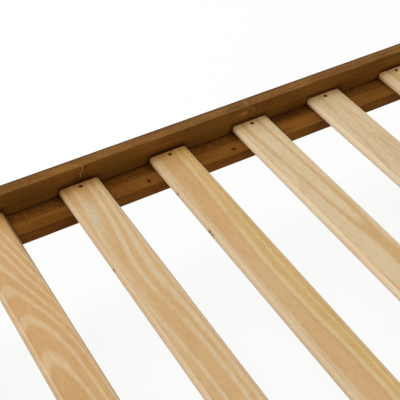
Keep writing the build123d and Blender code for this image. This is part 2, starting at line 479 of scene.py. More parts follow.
pineTones = {
    "tan": (0.628, 0.411, 0.198),
    "orange": (0.600, 0.372, 0.164),
    "ochre": (0.618, 0.372, 0.158),
    "honey": (0.634, 0.418, 0.166),
    "cream": (0.674, 0.520, 0.322),
    "ivory": (0.628, 0.512, 0.338),
    "sand": (0.676, 0.518, 0.282),
    "pale": (0.708, 0.560, 0.352),
    "smoke": (0.632, 0.484, 0.300),
    "wheat": (0.634, 0.420, 0.205),
    "straw": (0.668, 0.480, 0.268),
    "peach": (0.700, 0.520, 0.330),
    "milk": (0.860, 0.680, 0.460),
    "stained": (0.330, 0.150, 0.045),
}

# heart: where the tree's heart lies, across the slat and above its middle. lean, taper: how it and
# the rings shift along the slat. swells: across, along, width, length and a push on the rings.
# patches: across, along, width, length, share and tone. ends: how dark the painted shade at the ends is
slatGrain = {
    "slat_01": {
        "heart": (-60, -30), "lean": 0.02, "taper": 0.05, "seed": 1.3, "swells": [(0, 100, 40, 120, 9)],
        "rings": evenBands("pale", "wheat", [(40, 1), (47, 0.5), (61, 1.6), (82, 0.8), (93, 1.4)], 2.6)},
    "slat_02": {
        "heart": (12, -40), "lean": -0.01, "taper": -0.10, "seed": 2.1, "swells": [(10, -40, 30, 90, -6)],
        "rings": evenBands("tan", "cream", [(20, 1.6), (31, 0.8), (38, 1.8), (56, 0.8), (63, 2.2),
                                            (80, 1.2)], 1.6)},
    "slat_03": {
        "heart": (-20, -20), "taper": 0.12, "seed": 3.7, "swells": [(25, 110, 35, 100, -10)], "ends": 1,
        "patches": [(-17, 182, 14, 20, 0.6, "ochre"), (20, 150, 9, 60, 0.3, "ochre")],
        "rings": evenBands("orange", "straw", [(35, 0.8), (43.5, 0.9), (51.5, 0.9), (58.5, 1), (66.5, 1),
                                               (74, 0.9), (81.5, 0.8)], 0.9)},
    "slat_04": {
        "heart": (-200, 0), "seed": 4.2, "swells": [(-10, 156, 32, 110, 16)], "ends": 1,
        "patches": [(-13, 284, 5.5, 36, 1, "ivory"), (-7, 299, 5, 28, 1, "ivory"),
                    (-2, 78, 14, 45, 0.6, "orange"), (-23, 145, 6.5, 120, 0.75, "cream"),
                    (-25, 351, 9, 12, 0.4, "stained"), (15, 350, 9, 11, 0.12, "stained")],
        "rings": [("cream", 160, 172), ("tan", 175, 185), ("cream", 186.5, 190), ("tan", 191.5, 208),
                  ("cream", 209.5, 213.5), ("tan", 215, 219), ("cream", 220.5, 224.5),
                  ("tan", 226, 227.5), ("cream", 229, 231), ("tan", 232.5, 260)]},
    "slat_05": {
        "heart": (-200, 0), "seed": 5.9, "swells": [(0, 85, 22, 150, 9.5)], "ends": 1,
        "patches": [(-8, 70, 14, 70, 0.25, "cream"), (-6, 290, 14, 60, 0.8, "orange"),
                    (-8, 205, 12, 55, 0.6, "ochre"), (20, 250, 7, 80, 0.6, "honey"),
                    (-22, 352, 11, 9, 0.3, "stained")],
        "rings": [("cream", 160, 180.5), ("tan", 182.5, 203), ("ochre", 206.5, 208), ("sand", 209.5, 213.5),
                  ("honey", 215.5, 220.5), ("sand", 221.5, 222.5), ("honey", 224, 260)]},
    "slat_06": {
        "heart": (15, -2), "lean": -0.05, "taper": -0.01, "seed": 6.4, "rounded": "milk",
        "swells": [(13, 48, 15, 50, 4.5)],
        "patches": [(13, 50, 8, 30, 0.35, "ochre"), (-6, 240, 9, 60, 0.35, "cream")],
        "rings": [("pale", 0, 9), ("wheat", 11, 13.4), ("pale", 16.4, 39), ("wheat", 42, 42),
                  ("pale", 46, 80)]},
    "slat_07": {
        "heart": (7.5, 3), "taper": 0.08, "seed": 7.7, "rounded": "milk",
        "swells": [(-22, 340, 15, 80, -3.5), (-31, 147, 12, 35, -3.5), (-12, 200, 14, 60, 2)],
        "rings": [("pale", 0, 17.5), ("smoke", 20, 21), ("pale", 23, 25), ("straw", 27, 28),
                  ("pale", 31, 40), ("smoke", 42, 44), ("pale", 46, 80)]},
    "slat_08": {
        "heart": (-140, -60), "lean": -0.01, "seed": 8.2, "swells": [(0, 60, 40, 120, 10)],
        "rings": evenBands("pale", "wheat", [(122, 1.4), (129, 0.6), (146, 1.8), (153, 0.4),
                                             (172, 1.2)], 2.2)},
    "slat_09": {
        "heart": (20, -30), "lean": 0.01, "taper": 0.09, "seed": 9.5,
        "rings": evenBands("tan", "cream", [(15, 1.8), (24, 0.7), (41, 2.4), (50, 0.8), (66, 1.3)], 1.6)},
    "slat_10": {
        "heart": (-200, 0), "lean": 0.01, "seed": 10.8, "swells": [(0, -60, 50, 120, -8)],
        "rings": evenBands("pale", "wheat", [(176, 1.4), (186, 0.6), (193, 1.6), (215, 0.8),
                                             (226, 1.8)], 2.4)},
}

slatMarks = {    # small dark dents and specks: across, along, width, length
    "slat_03": [(29.2, 325, 2.3, 60)],
    "slat_04": [(-31.2, 183, 1, 2.6)],
    "slat_05": [(-31.2, 183, 1.3, 3.6), (-31.3, 272, 1, 2.6), (-30.9, 175, 0.7, 3)],
}

slatHole = {"fromEnd": 7, "radius": 3.3, "shank": 1.65, "segments": 40}    # its radius at the face

pineLook = {
    "stray": {"wander": 1.2, "wanderSize": 26},    # how far the rings stray, over what width
    "wave": (10, 40, 2, 2),
    "fuzz": (1.6, 30, 2, 0),
    "ringShift": (1.6, -1.3),    # times the wave, and added to the fuzz
    "fibre": ((0.55, 45, 3, 0), (0.35, 0.75, 0, 0.16), (0.80, 0.66, 0.50)),
    "grain": ((2.3, 9, 3, 8), (0.36, 0.64, 0, 0.50), (0.87, 0.80, 0.68)),
    "blotch": ((16, 70, 2, 5), (0.42, 0.66, 0, 0.40), (0.90, 0.82, 0.70)),
    "ducts": {"width": 2.6, "length": 18, "share": 0.18},
    "ductShare": 0.25,
    "ductBrown": (0.42, 0.27, 0.12),
    "flatHalf": 24.8,    # from the middle of a slat to a faint darker line where its rounding starts, partly a machining mark and partly painted shade
    "lineSteepness": 0.7,
    "line": (0.75, (0.95, 0.91, 0.84)),    # a share and a tint, as in the next ones
    # near the ends and farther in: painted shadow of the rails, warmed by their bounce
    "near": (0.82, (0.92, 0.74, 0.48)),
    "face": (0.7, (0.80, 0.66, 0.50)),
    "endShadeShare": 0.5,
    "endShadeTint": (0.83, 0.74, 0.52),
    "rounding": (0.7, 1.8, 0, 0.5),
    "endReach": 15,
    "endShadeReach": 62,
    "markShare": 0.9,
    "markBrown": (0.16, 0.085, 0.03),
    "holeShadeBrown": (0.150, 0.058, 0.008),
    "holeSoft": 0.15,
    "relief": (0.5, -0.4),    # of the fibre and of the ducts
    "roughness": (0.3, 0.7, 0.52, 0.64),
    "bump": (0.25, 0.15),
    "plain": {"Specular IOR Level": 0.3},
}


def slatRings(place, board, look):
    seed, (waveBy, fuzzBy) = board["seed"], look["ringShift"]
    distance = ringDistance(place, board, look) + noise(place, look["wave"], seed) * waveBy
    distance = distance + (noise(place, look["fuzz"], seed) + fuzzBy)
    colour = ringColours(distance, board["rings"], pineTones)
    for *spread, tone in board.get("patches", ()):
        colour = mix(colour, pineTones[tone], summedSwells(place, [spread]))
    return colour


def slatUse(name, colour, place, board, look, halfLength):    # its rounding, ends, marks and holes
    across, along, deep = parted(abs(place))
    offFlat = across - look["flatHalf"]
    # the faint darker line: partly a machining mark, partly painted shade
    colour = washed(colour, bell(offFlat * offFlat, look["lineSteepness"]), *look["line"])
    # a lighter tone on the rounded edges: painted highlight
    colour = mix(colour, pineTones[board.get("rounded", "peach")], rise(offFlat, *look["rounding"]))
    ends, endShade = [useGroup(sawnEnd, place, halfLength=halfLength, reach=look[reach])
                     for reach in ("endReach", "endShadeReach")]
    # painted shade at the slat ends: the rails' shadow and their warm bounce
    colour = washed(colour, ends["near"], *look["near"])
    colour = washed(colour, endShade["near"], board.get("ends", look["endShadeShare"]), look["endShadeTint"])
    colour = washed(colour, ends["face"], *look["face"])
    if name in slatMarks:
        marks = [(*mark, look["markShare"]) for mark in slatMarks[name]]
        colour = mix(colour, look["markBrown"], summedSwells(place, marks))
    fromHole = reckon("LENGTH", joined(across, along - (halfLength - slatHole["fromEnd"])))
    radius, soft = slatHole["radius"], look["holeSoft"]
    # painted shade on the countersink wall round each screw
    return mix(colour, look["holeShadeBrown"], fall(fromHole, radius - soft, radius + soft))


def pineFinish(name, board, centre, halfLength):
    look, seed = pineLook, board["seed"]
    material, shader, place = newFinish(name + "Pine", centre)
    colour, fibre = textured(slatRings(place, board, look), place, seed, look["fibre"])
    for texture in ("grain", "blotch"):
        colour = textured(colour, place, seed, look[texture])[0]
    ducts = useGroup(resinMarks, place, **look["ducts"])
    colour = mix(colour, look["ductBrown"], ducts * look["ductShare"])
    colour = slatUse(name, colour, place, board, look, halfLength)
    fibreRelief, ductRelief = look["relief"]
    finishSurface(shader, colour, fibre * fibreRelief + ducts * ductRelief, fibre, look)
    return material


for name, board in slatGrain.items():
    low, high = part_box(name)
    dress(name, pineFinish(name, board, (low + high) / 2, (high.y - low.y) / 2 / mm))
print("slats finished")


stainTones = {
    "deep": (0.140, 0.052, 0.0055),
    "middle": (0.196, 0.079, 0.0098),
    "light": (0.245, 0.106, 0.0165),
    "knot": (0.300, 0.122, 0.0190),
    "bright": (0.440, 0.215, 0.0600),
    "rust": (0.180, 0.058, 0.0050),
    "umber": (0.088, 0.035, 0.0050),
    "split": (0.030, 0.010, 0.0020),
}

# which way each board's x, y and z run in the frame
postWays = ((1, 0, 0), (0, 0, 1), (0, -1, 0))
railWays = ((0, 0, 1), (1, 0, 0), (0, 1, 0))
endWays = ((0, 0, 1), (0, 1, 0), (-1, 0, 0))
ledgeWays = ((0, 1, 0), (1, 0, 0), (0, 0, -1))

# knots: centre and size. splits: centre, normal and reach. blots: centre, size, share and tone.
# oneSided: how many of the blots stop at the first split. hoops: centre, size, facing, thickness,
# share and tone. outer: which side of a rail is outside. inner: which side of a ledge has the rail
stainedGrain = {
    "side_rail_back": {
        "ways": railWays, "heart": (-30, 60), "taper": 0.01, "seed": 21, "outer": 1,
        "knots": [((-20, -420, 4), (9, 12, 14))],
        "splits": [((44, -212.4, -5), (-0.15, 0.51, 0.85), 20),
                   ((36, -209.5, -9.5), (-0.1, -0.98, -0.15), 8)],
        "lip": 0.5,
        "swells": [(36, 66, 12, 20, 9)],
        "oneSided": 2,
        "blots": [((47, -236, -4), (9, 20, 9), 0.75, "knot"), ((42, -218, -9), (9, 9, 5), 0.5, "knot"),
                  ((47, -199, 2), (4, 9, 2.5), 0.5, "umber"), ((47, -300, 0), (12, 30, 14), 0.4, "deep"),
                  ((38, 60, -9), (12, 24, 8), 0.45, "light"), ((33, 80, -9), (11, 6, 6), 0.5, "split"),
                  # the small bright blot at 63.8 in the knot is a painted highlight
                  ((36.5, 79, -9), (3.5, 3, 5), 0.5, "knot"), ((35, 63.8, -9.5), (2.8, 6, 5), 1, "bright"),
                  ((36, 108, -9), (14, 12, 6), 0.5, "deep"), ((47.5, 48, -4.8), (5, 20, 5.5), 0.9, "umber"),
                  ((47.5, 71, -3), (4, 3.2, 8), 0.45, "bright"), ((5, 140, -9), (14, 40, 8), 0.42, "split"),
                  ((28, -300, -9), (17, 52, 6), 0.62, "deep"), ((39, -220, -9.5), (6, 5, 4), 0.7, "rust"),
                  # the dark blot at -209, just above the end of slat_04, is painted shade
                  ((43, -203, -9), (6, 6, 4), 0.5, "rust"), ((26, -209, -9.5), (9, 15, 6), 0.65, "split"),
                  ((31, -145, -9), (12, 40, 6), 0.4, "light"), ((31, 0, -9), (12, 45, 6), 0.5, "light"),
                  ((47.5, 0, 0), (8, 55, 12), 0.15, "bright"),
                  ((47.5, -145, 0), (8, 48, 12), 0.08, "bright")],
        "hoops": [((35.5, 64, -9.5), (6, 13, 8), (0, 1, 0), 0.24, 0.75, "rust"),
                  ((35, 64, -9.5), (10.5, 18, 9), (0.5, 0.85, 0), 0.16, 0.7, "knot"),
                  ((35, 64, -9.5), (13, 25, 9), (0.2, 1, 0), 0.16, 0.6, "deep"),
                  ((34, 64, -9.5), (8, 26, 8), (0, -1, 0), 0.20, 0.5, "rust")]},
    "side_rail_front": {
        "ways": railWays, "heart": (25, -70), "taper": 0.02, "seed": 22, "outer": -1,
        "knots": [((-12, 250, -8), (9, 14, 12)), ((22, -310, 9), (6, 9, 10))]},
    "ledge_back": {
        "ways": ledgeWays, "heart": (60, -50), "taper": 0.01, "seed": 23, "inner": 1,
        "tint": (1.20, 1.20, 1.58),
        "blots": [((-17, -240, -10), (9, 110, 12), 0.7, "deep"), ((16, 140, -10), (10, 45, 10), 0.5, "split"),
                  ((-4, 145, -10), (9, 48, 8), 0.9, "knot"), ((14, -290, -10), (9, 46, 8), 0.4, "knot"),
                  # the two small dark blots at -121.5 and 24.5 are painted shade in the spare screw holes
                  ((-12.5, -121.5, -10), (3.4, 4, 4), 0.7, "split"),
                  ((-12.5, 24.5, -10), (3.4, 4, 4), 0.7, "split")]},
    "ledge_front": {
        "ways": ledgeWays, "heart": (-60, -50), "taper": 0.01, "seed": 24, "inner": -1,
        "tint": (1.18, 1.18, 1.55)},
    "head_rail": {
        "ways": endWays, "heart": (20, 60), "taper": 0.02, "seed": 25, "outer": 1,
        "knots": [((-14, 120, 6), (8, 12, 14))]},
    "foot_rail": {
        "ways": endWays, "heart": (-25, -60), "taper": 0.02, "seed": 26, "outer": -1,
        "knots": [((10, -170, -6), (7, 11, 12)), ((-30, 60, 8), (6, 8, 10))]},
    "post_head_front": {
        "ways": postWays, "heart": (40, 30), "taper": 0.03, "seed": 27,
        "knots": [((-22, -50, 4), (12, 8, 6))], "splits": [((3, 134, 22), (1, 0, 0.1), 14)]},
    "post_head_back": {
        "ways": postWays, "heart": (-45, 35), "taper": 0.03, "seed": 28,
        "splits": [((-6, -134, -22), (0.9, 0, 0.2), 16)]},
    "post_foot_front": {
        "ways": postWays, "heart": (50, -30), "taper": 0.03, "seed": 29,
        "knots": [((22, -70, -6), (12, 8, 7))]},
    "post_foot_back": {
        "ways": postWays, "heart": (-50, 20), "taper": 0.03, "seed": 30,
        "knots": [((-4, 20, -22), (6, 9, 12))], "splits": [((22, -134, 5), (0, 0, 1), 15)]},
}

stainLook = {
    "stray": {"wander": 4, "wanderSize": 24},
    "knotPush": 7,
    "ringSpacing": 6.5,
    "ringRise": (0.25, 0.85),    # each ring darkens slowly and ends sharply
    "ringFall": (0.88, 1),
    "cloud": (9, 60, 4, 5),
    "patch": (40, 110, 1, 9),
    "toneShares": (-0.16, 0.8),    # of the rings and of the cloud
    "toneRange": (0.42, 1.36),
    "tint": (1.1, 1.08, 1.05),
    "uneven": 0.35,
    "knotShares": (0.42, 0.45),    # of its core and of its rim
    "fibre": ((0.8, 26, 3, 0), (0.35, 0.75, 0, 0.40), (0.62, 0.52, 0.45)),
    "fleck": ((1.6, 4.5, 2, 1), (0.45, 0.70, 0, 0.40), (0.66, 0.58, 0.50)),
    "relief": (0.5, 0.2),    # of the fibre and of the planer marks
    "endReach": 8,
    "endGrain": (0.62, 0.54, 0.46),
    "lip": 0.12,    # how bright the wood is beside a split
    "split": (0.85, -2),    # its share and its depth
    "edgeReach": 2.6,
    "edgeWear": (0.42, 0.70, 0.05, 0.60),
    "edgeBrown": (0.34, 0.18, 0.06),
    "roughness": (0.3, 0.7, 0.42, 0.56),
    "bump": (0.4, 0.2),
    "plain": {"Specular IOR Level": 0.10},
}

# across a ledge, 22.5 is beside the rail and -22.5 is the front edge
ledgeLook = {
    "wave": 6,
    "rough": (3.5, 6),    # rougher from here to the rail, and darker: partly its own tone, partly painted shadow of the rail
    "curl": (3.2, 7, 3, 4),
    "grit": (0.40, 0.60, 0.35, 1.10),
    "corner": (8, 22.5, 0, 0.4),
    "roughAndShadeTint": (0.62, 0.54, 0.48),
    "slatShift": 5,
    "slatFrom": (-2, 12),
    "slatShade": (0.6, (0.52, 0.44, 0.36)),    # painted shade round the ends of the slats
    "front": (-22.3, -21.3),
    "frontShadeTint": (0.90, 0.80, 0.40),
    "planed": 0.6,
    "knifeLines": (-0.5, 0.5),
    "knifeLeast": (0.3, 0.15),    # on the rough part and on the front
    "knifeTint": (0.76, 0.69, 0.60),
    "join": (20.3, 21.3, 0, 0.8),
    "edgeWear": (0.42, 0.70, 0.05, 0.20),
    "plain": {"Specular IOR Level": 0.04},
}

railLook = {
    "top": (1.6, 0.4),    # below the top of the rail, where the top face is lightened as a painted sheen
    "topSheenTint": (1.10, 1.20, 1.60),
    "mottle": (2.2, 6, 3, 4),
    "mottleRange": (0.42, 0.62, 0, 0.7),
    "mottleTint": (0.74, 0.68, 0.60),
    "outerCorner": (4.4, 2.6),
    "outerShadeTint": (0.42, 0.40, 0.40),
    "innerFace": (0.3, 1),
    "shadeTop": (19, 29),    # a soft shade above the ledge, deeper beside the slats
    "shadeFoot": (-8, 4),
    "shadeShares": (0.80, 0.20),
    "shadeTint": (0.36, 0.29, 0.24),
    "ledgeTop": 6,    # above the middle of a side rail
    "joinRise": (-0.6, 0.1),
    "joinFall": (0.6, 1.6),
    "joinShare": 0.85,
}

# counted in pitches from this far before the middle of the bed, each slat falls on a half
slatShadow = {"pitch": 145, "countFrom": 3625, "half": 26, "soft": 14}


def slatNearness(along):    # 1 under and beside each slat, fading out beyond it
    pitch, half = slatShadow["pitch"], slatShadow["half"]
    away = abs(reckon("FRACT", (along + slatShadow["countFrom"]) / pitch) - 0.5) * pitch
    return fall(away, half, half + slatShadow["soft"])


def gather(operation, wires):
    total, *others = wires
    for wire in others:
        total = reckon(operation, total, wire)
    return total


def stainRings(place, board, look, knots):
    push = 0
    for found in knots:
        push = found["push"] * look["knotPush"] + push
    ring = reckon("FRACT", ringDistance(place, board, look, push) / look["ringSpacing"])
    return rise(ring, *look["ringRise"]) - rise(ring, *look["ringFall"])


def blotted(colour, place, board, look):    # blots, then hoops, each in its own tone
    for number, (centre, size, share, tone) in enumerate(board.get("blots", ())):
        mask = useGroup(blot, place, centre=centre, size=size, uneven=look["uneven"])
        if number < board.get("oneSided", 0):
            middle, normal, reach = board["splits"][0]
            mask = mask * useGroup(crack, place, centre=middle, normal=normal, reach=reach)["side"]
        colour = mix(colour, stainTones[tone], mask * share)
    for centre, size, facing, thickness, share, tone in board.get("hoops", ()):
        mask = useGroup(hoop, place, centre=centre, size=size, facing=facing, thickness=thickness)
        colour = mix(colour, stainTones[tone], mask * share)
    return colour


def knotted(colour, knots, look):
    coreShare, rimShare = look["knotShares"]
    core, rim = [gather("MAXIMUM", [found[part] for found in knots]) for part in ("core", "rim")]
    swirl = gather("MINIMUM", [found["swirl"] for found in knots])
    colour = mix(colour, mix(stainTones["knot"], stainTones["deep"], swirl), core * coreShare)
    return mix(colour, stainTones["split"], rim * rimShare)


def ledgeUse(colour, height, place, board, look, cloud, ripple):    # planed in front, rough by the rail, with painted shade and painted shadow lines
    across, along, deep = parted(place)
    zone = across * board["inner"]
    wavy = cloud * look["wave"] + zone
    rough = rise(wavy, *look["rough"])
    curl = noise(place, look["curl"], board["seed"])
    # the rough zone darker, partly its own tone and partly painted shadow of the rail; then painted shade
    # deepening towards the rail
    colour = shade(colour, look["roughAndShadeTint"], rough * rise(curl, *look["grit"]))
    colour = shade(colour, look["roughAndShadeTint"], rise(zone, *look["corner"]))
    # painted shade on the ledge round the end of each slat
    beside = slatNearness(along + look["slatShift"]) * rise(zone, *look["slatFrom"])
    colour = washed(colour, beside, *look["slatShade"])
    # the front face of the ledge tinted darker and warmer as painted shade
    colour = shade(colour, look["frontShadeTint"], fall(zone, *look["front"]))
    height = ripple * (rough * -look["planed"] + look["planed"]) + height
    height = curl * rough + height
    roughLeast, frontLeast = look["knifeLeast"]
    lines = rise(ripple, *look["knifeLines"]) * rise(wavy, *look["rough"], 1, roughLeast)
    lines = lines * rise(zone, *look["front"], frontLeast, 1)
    colour = shade(colour, look["knifeTint"], lines)
    # a painted shadow line in the groove where the ledge meets the rail
    return mix(colour, stainTones["split"], rise(zone, *look["join"])), height


def railUse(colour, place, board, halfSize):    # painted sheen on top, and painted shade on the outer top edge
    look = railLook
    across, along, deep = parted(place)
    top = rise(across, *[halfSize[0] - below for below in look["top"]])
    # painted sheen: the top face made lighter and paler
    colour = shade(colour, look["topSheenTint"], top)
    mottle = rise(noise(place, look["mottle"], board["seed"]), *look["mottleRange"])
    colour = shade(colour, look["mottleTint"], mottle * top)
    # painted shade along the outer top edge
    corner = [halfSize[0] + halfSize[2] - below for below in look["outerCorner"]]
    return shade(colour, look["outerShadeTint"], rise(deep * board["outer"] + across, *corner))


def railInside(colour, place, board, halfSize):    # painted shade above the ledge, and a painted shadow line where it meets the ledge
    look = railLook
    across, along, deep = parted(place)
    inner = fall(deep * board["outer"], *[depth - halfSize[2] for depth in look["innerFace"]])
    low = fall(across, *look["shadeTop"]) * inner * rise(across, *look["shadeFoot"])
    most, least = look["shadeShares"]
    colour = shade(colour, look["shadeTint"], low * (slatNearness(along) * most + least))
    # a painted shadow line in the groove where the rail meets the ledge
    above = across - look["ledgeTop"]
    join = rise(above, *look["joinRise"]) * fall(above, *look["joinFall"])
    return mix(colour, stainTones["split"], join * inner * look["joinShare"])


def splitOpen(colour, height, place, board, look):
    share, depth = look["split"]
    for middle, normal, reach in board.get("splits", ()):
        found = useGroup(crack, place, centre=middle, normal=normal, reach=reach)
        colour = mix(colour, stainTones["bright"], found["beside"] * board.get("lip", look["lip"]))
        colour = mix(colour, stainTones["split"], found["mask"] * share)
        height = found["mask"] * depth + height
    return colour, height


def stainFinish(name, board, centre, halfSize):
    isLedge, isRail = "inner" in board, "outer" in board
    look, seed = {**stainLook, **(ledgeLook if isLedge else {})}, board["seed"]
    turn = Matrix(board["ways"]).transposed().to_euler()
    material, shader, place = newFinish(name + "Stain", centre, turn)
    knots = [useGroup(knot, place, centre=middle, size=size) for middle, size in board.get("knots", ())]
    ring = stainRings(place, board, look, knots)
    cloud, patch = noise(place, look["cloud"], seed), noise(place, look["patch"], seed)
    ringShare, cloudShare = look["toneShares"]
    tone = rise(ring * ringShare + cloud * cloudShare + patch, *look["toneRange"])
    tones = [stainTones[shadeName] for shadeName in ("deep", "middle", "light")]
    colour = shade(ramp(tone, zip((0, 0.5, 1), tones)), board.get("tint", look["tint"]))
    colour = blotted(colour, place, board, look)
    if knots:
        colour = knotted(colour, knots, look)
    colour, fibre = textured(colour, place, seed, look["fibre"])
    colour = textured(colour, place, seed, look["fleck"])[0]
    ripple = useGroup(planerMarks, place, seed=seed)
    fibreRelief, rippleRelief = look["relief"]
    height = fibre * fibreRelief + ripple * rippleRelief
    if isLedge:
        colour, height = ledgeUse(colour, height, place, board, look, cloud, ripple)
    if isRail:
        colour = railUse(colour, place, board, halfSize)
    else:
        ends = useGroup(sawnEnd, place, halfLength=halfSize[1], reach=look["endReach"])
        colour = shade(colour, mix((1, 1, 1), look["endGrain"], ring), ends["face"])
    if name.startswith("side_rail"):
        colour = railInside(colour, place, board, halfSize)
    colour, height = splitOpen(colour, height, place, board, look)
    edge = useGroup(arris, place, halfSize=halfSize, reach=look["edgeReach"])
    colour = mix(colour, look["edgeBrown"], edge * rise(cloud, *look["edgeWear"]))
    finishSurface(shader, colour, height, fibre, look)
    return material


for name, board in stainedGrain.items():
    low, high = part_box(name)
    size = (high - low) / 2 / mm
    halfSize = [abs(size.dot(Vector(way))) for way in board["ways"]]
    dress(name, stainFinish(name, board, (low + high) / 2, halfSize))
print("frame boards finished")


# ---- shape helpers

def block(low, high):
    bm = bmesh.new()
    bmesh.ops.create_cube(bm, size=1)
    bmesh.ops.scale(bm, vec=high - low, verts=bm.verts)
    bmesh.ops.translate(bm, vec=(low + high) / 2, verts=bm.verts)
    return bm


def rod(radius, length, segments):
    bm = bmesh.new()
    bmesh.ops.create_cone(bm, cap_ends=True, segments=segments, radius1=radius * mm,
                          radius2=radius * mm, depth=length * mm)
    return bm


def turnShape(bm, degrees, axis):
    bmesh.ops.rotate(bm, cent=(0, 0, 0), matrix=Matrix.Rotation(radians(degrees), 3, axis), verts=bm.verts)


def bevelEdges(bm, edges, offset, segments):
    bmesh.ops.bevel(bm, geom=edges, offset=offset, offset_type="OFFSET", affect="EDGES", segments=segments,
                    profile=0.5, material=-1)


def runsAlong(edge, axis):
    start, end = [vert.co[axis] for vert in edge.verts]
    return abs(start - end) > 0.9 * edge.calc_length()    # nearly all of it


def turned(profile, segments):    # spins (radius, height) pairs in millimetres round Z
    bm = bmesh.new()
    verts = [bm.verts.new((radius * mm, 0, height * mm)) for radius, height in profile]
    edges = [bm.edges.new(pair) for pair in zip(verts, verts[1:])]
    bmesh.ops.spin(bm, geom=verts + edges, cent=(0, 0, 0), axis=(0, 0, 1), dvec=(0, 0, 0), angle=2 * pi,
                   steps=segments, use_merge=True, use_duplicate=False)
    bmesh.ops.remove_doubles(bm, verts=bm.verts, dist=0.002 * mm)
    bmesh.ops.recalc_face_normals(bm, faces=bm.faces)
    return bm


threadShape = {"sunk": 0.1, "halfBase": 0.32, "steps": 14}    # halfBase is a share of the pitch


def addThread(bm, core, crest, pitch, start, end):    # a sharp ridge wound down a shank
    base, half, steps = core - threadShape["sunk"], pitch * threadShape["halfBase"], threadShape["steps"]
    corners = ((base, start + half), (crest, start), (base, start - half))
    ridge = bm.faces.new([bm.verts.new((radius * mm, 0, height * mm)) for radius, height in corners])
    turns = (start - end) / pitch
    bmesh.ops.spin(bm, geom=[*ridge.verts, *ridge.edges, ridge], cent=(0, 0, 0), axis=(0, 0, 1),
                   dvec=(0, 0, -pitch * mm / steps), angle=2 * pi * turns, steps=round(turns * steps))
    bmesh.ops.recalc_face_normals(bm, faces=bm.faces)


def carved(bm, *cutters, operation="DIFFERENCE"):    # takes each cutter's shape out of the piece
    piece = finishedPiece("blank", bm)
    tools = [finishedPiece("cutter", cutter) for cutter in cutters]
    for tool in tools:
        cut = piece.modifiers.new("cut", "BOOLEAN")
        cut.object, cut.operation, cut.solver = tool, operation, "EXACT"
    shape = bpy.data.meshes.new_from_object(piece.evaluated_get(bpy.context.evaluated_depsgraph_get()))
    result = bmesh.new()
    result.from_mesh(shape)
    for spent in (piece, *tools):
        bpy.data.objects.remove(spent)
    return result


def standing(place, lean=0, axis="X", turn=0):    # leant over in degrees, then turned on itself
    return (Matrix.Translation(place) @ Matrix.Rotation(radians(lean), 4, axis)
            @ Matrix.Rotation(turn, 4, "Z"))


def placedCopies(bm, places):    # one mesh with a copy of the shape at each place
    single = bpy.data.meshes.new("single")
    bm.to_mesh(single)
    bm.free()
    copies = bmesh.new()
    for place in places:
        start = len(copies.verts)
        copies.from_mesh(single)
        copies.verts.ensure_lookup_table()
        bmesh.ops.transform(copies, matrix=place, verts=copies.verts[start:])
    return copies


def standIn(name, bm, material):    # a detailed piece in place of its CAD node
    piece = finishedPiece(name + "Detailed", bm, smoothBelow=35)
    piece.data.materials.append(material)
    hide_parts(name)
    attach(piece, "root")


# ---- slats: bullnosed, eased at the ends, countersunk, with a few dents

slatShape = {
    "roundSegments": 9, "roundGap": 0.02, "weld": 0.06,    # the gap left by the roundings is welded
    "cornerRadius": (2.6, 1), "cornerSegments": 5,    # left and right, as seen from above
    "outlineSpare": (0.05, 0.05, 10),
    "endEase": 0.4, "easeSegments": 2,
    "border": 0.35,    # a narrow strip round each flat, which keeps its shading flat
    "flatLeast": 300,    # square millimetres
    "square": 0.99, "flatSquare": 0.999,    # how nearly ends and flats look along an axis
    "dentsBeyond": 31,    # marks farther out than this are dents in the rounded edge
    "dentShift": (-0.3, 0, 1),
    "dentSize": (0.9, 2, 1.6),
    "holeAbove": 1, "holeDepth": 16,
}


def screwPlaces():    # where the slat screws stand, in the face of the slats
    places = []
    for name in slatGrain:
        low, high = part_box(name)
        inset = slatHole["fromEnd"] * mm
        places += [Vector(((low.x + high.x) / 2, edge, high.z)) for edge in (low.y + inset, high.y - inset)]
    return places


def countersink(place):
    top, shank = slatHole["radius"], slatHole["shank"]
    above, bottom = slatShape["holeAbove"], -slatShape["holeDepth"]
    cutter = turned([(0, above), (top + above, above), (shank, shank - top), (shank, bottom), (0, bottom)],
                    slatHole["segments"])
    bmesh.ops.translate(cutter, vec=place, verts=cutter.verts)
    return cutter


def dent(place):
    cutter = bmesh.new()
    bmesh.ops.create_icosphere(cutter, subdivisions=2, radius=1)
    bmesh.ops.scale(cutter, vec=Vector(slatShape["dentSize"]) * mm, verts=cutter.verts)
    bmesh.ops.translate(cutter, vec=place, verts=cutter.verts)
    return cutter


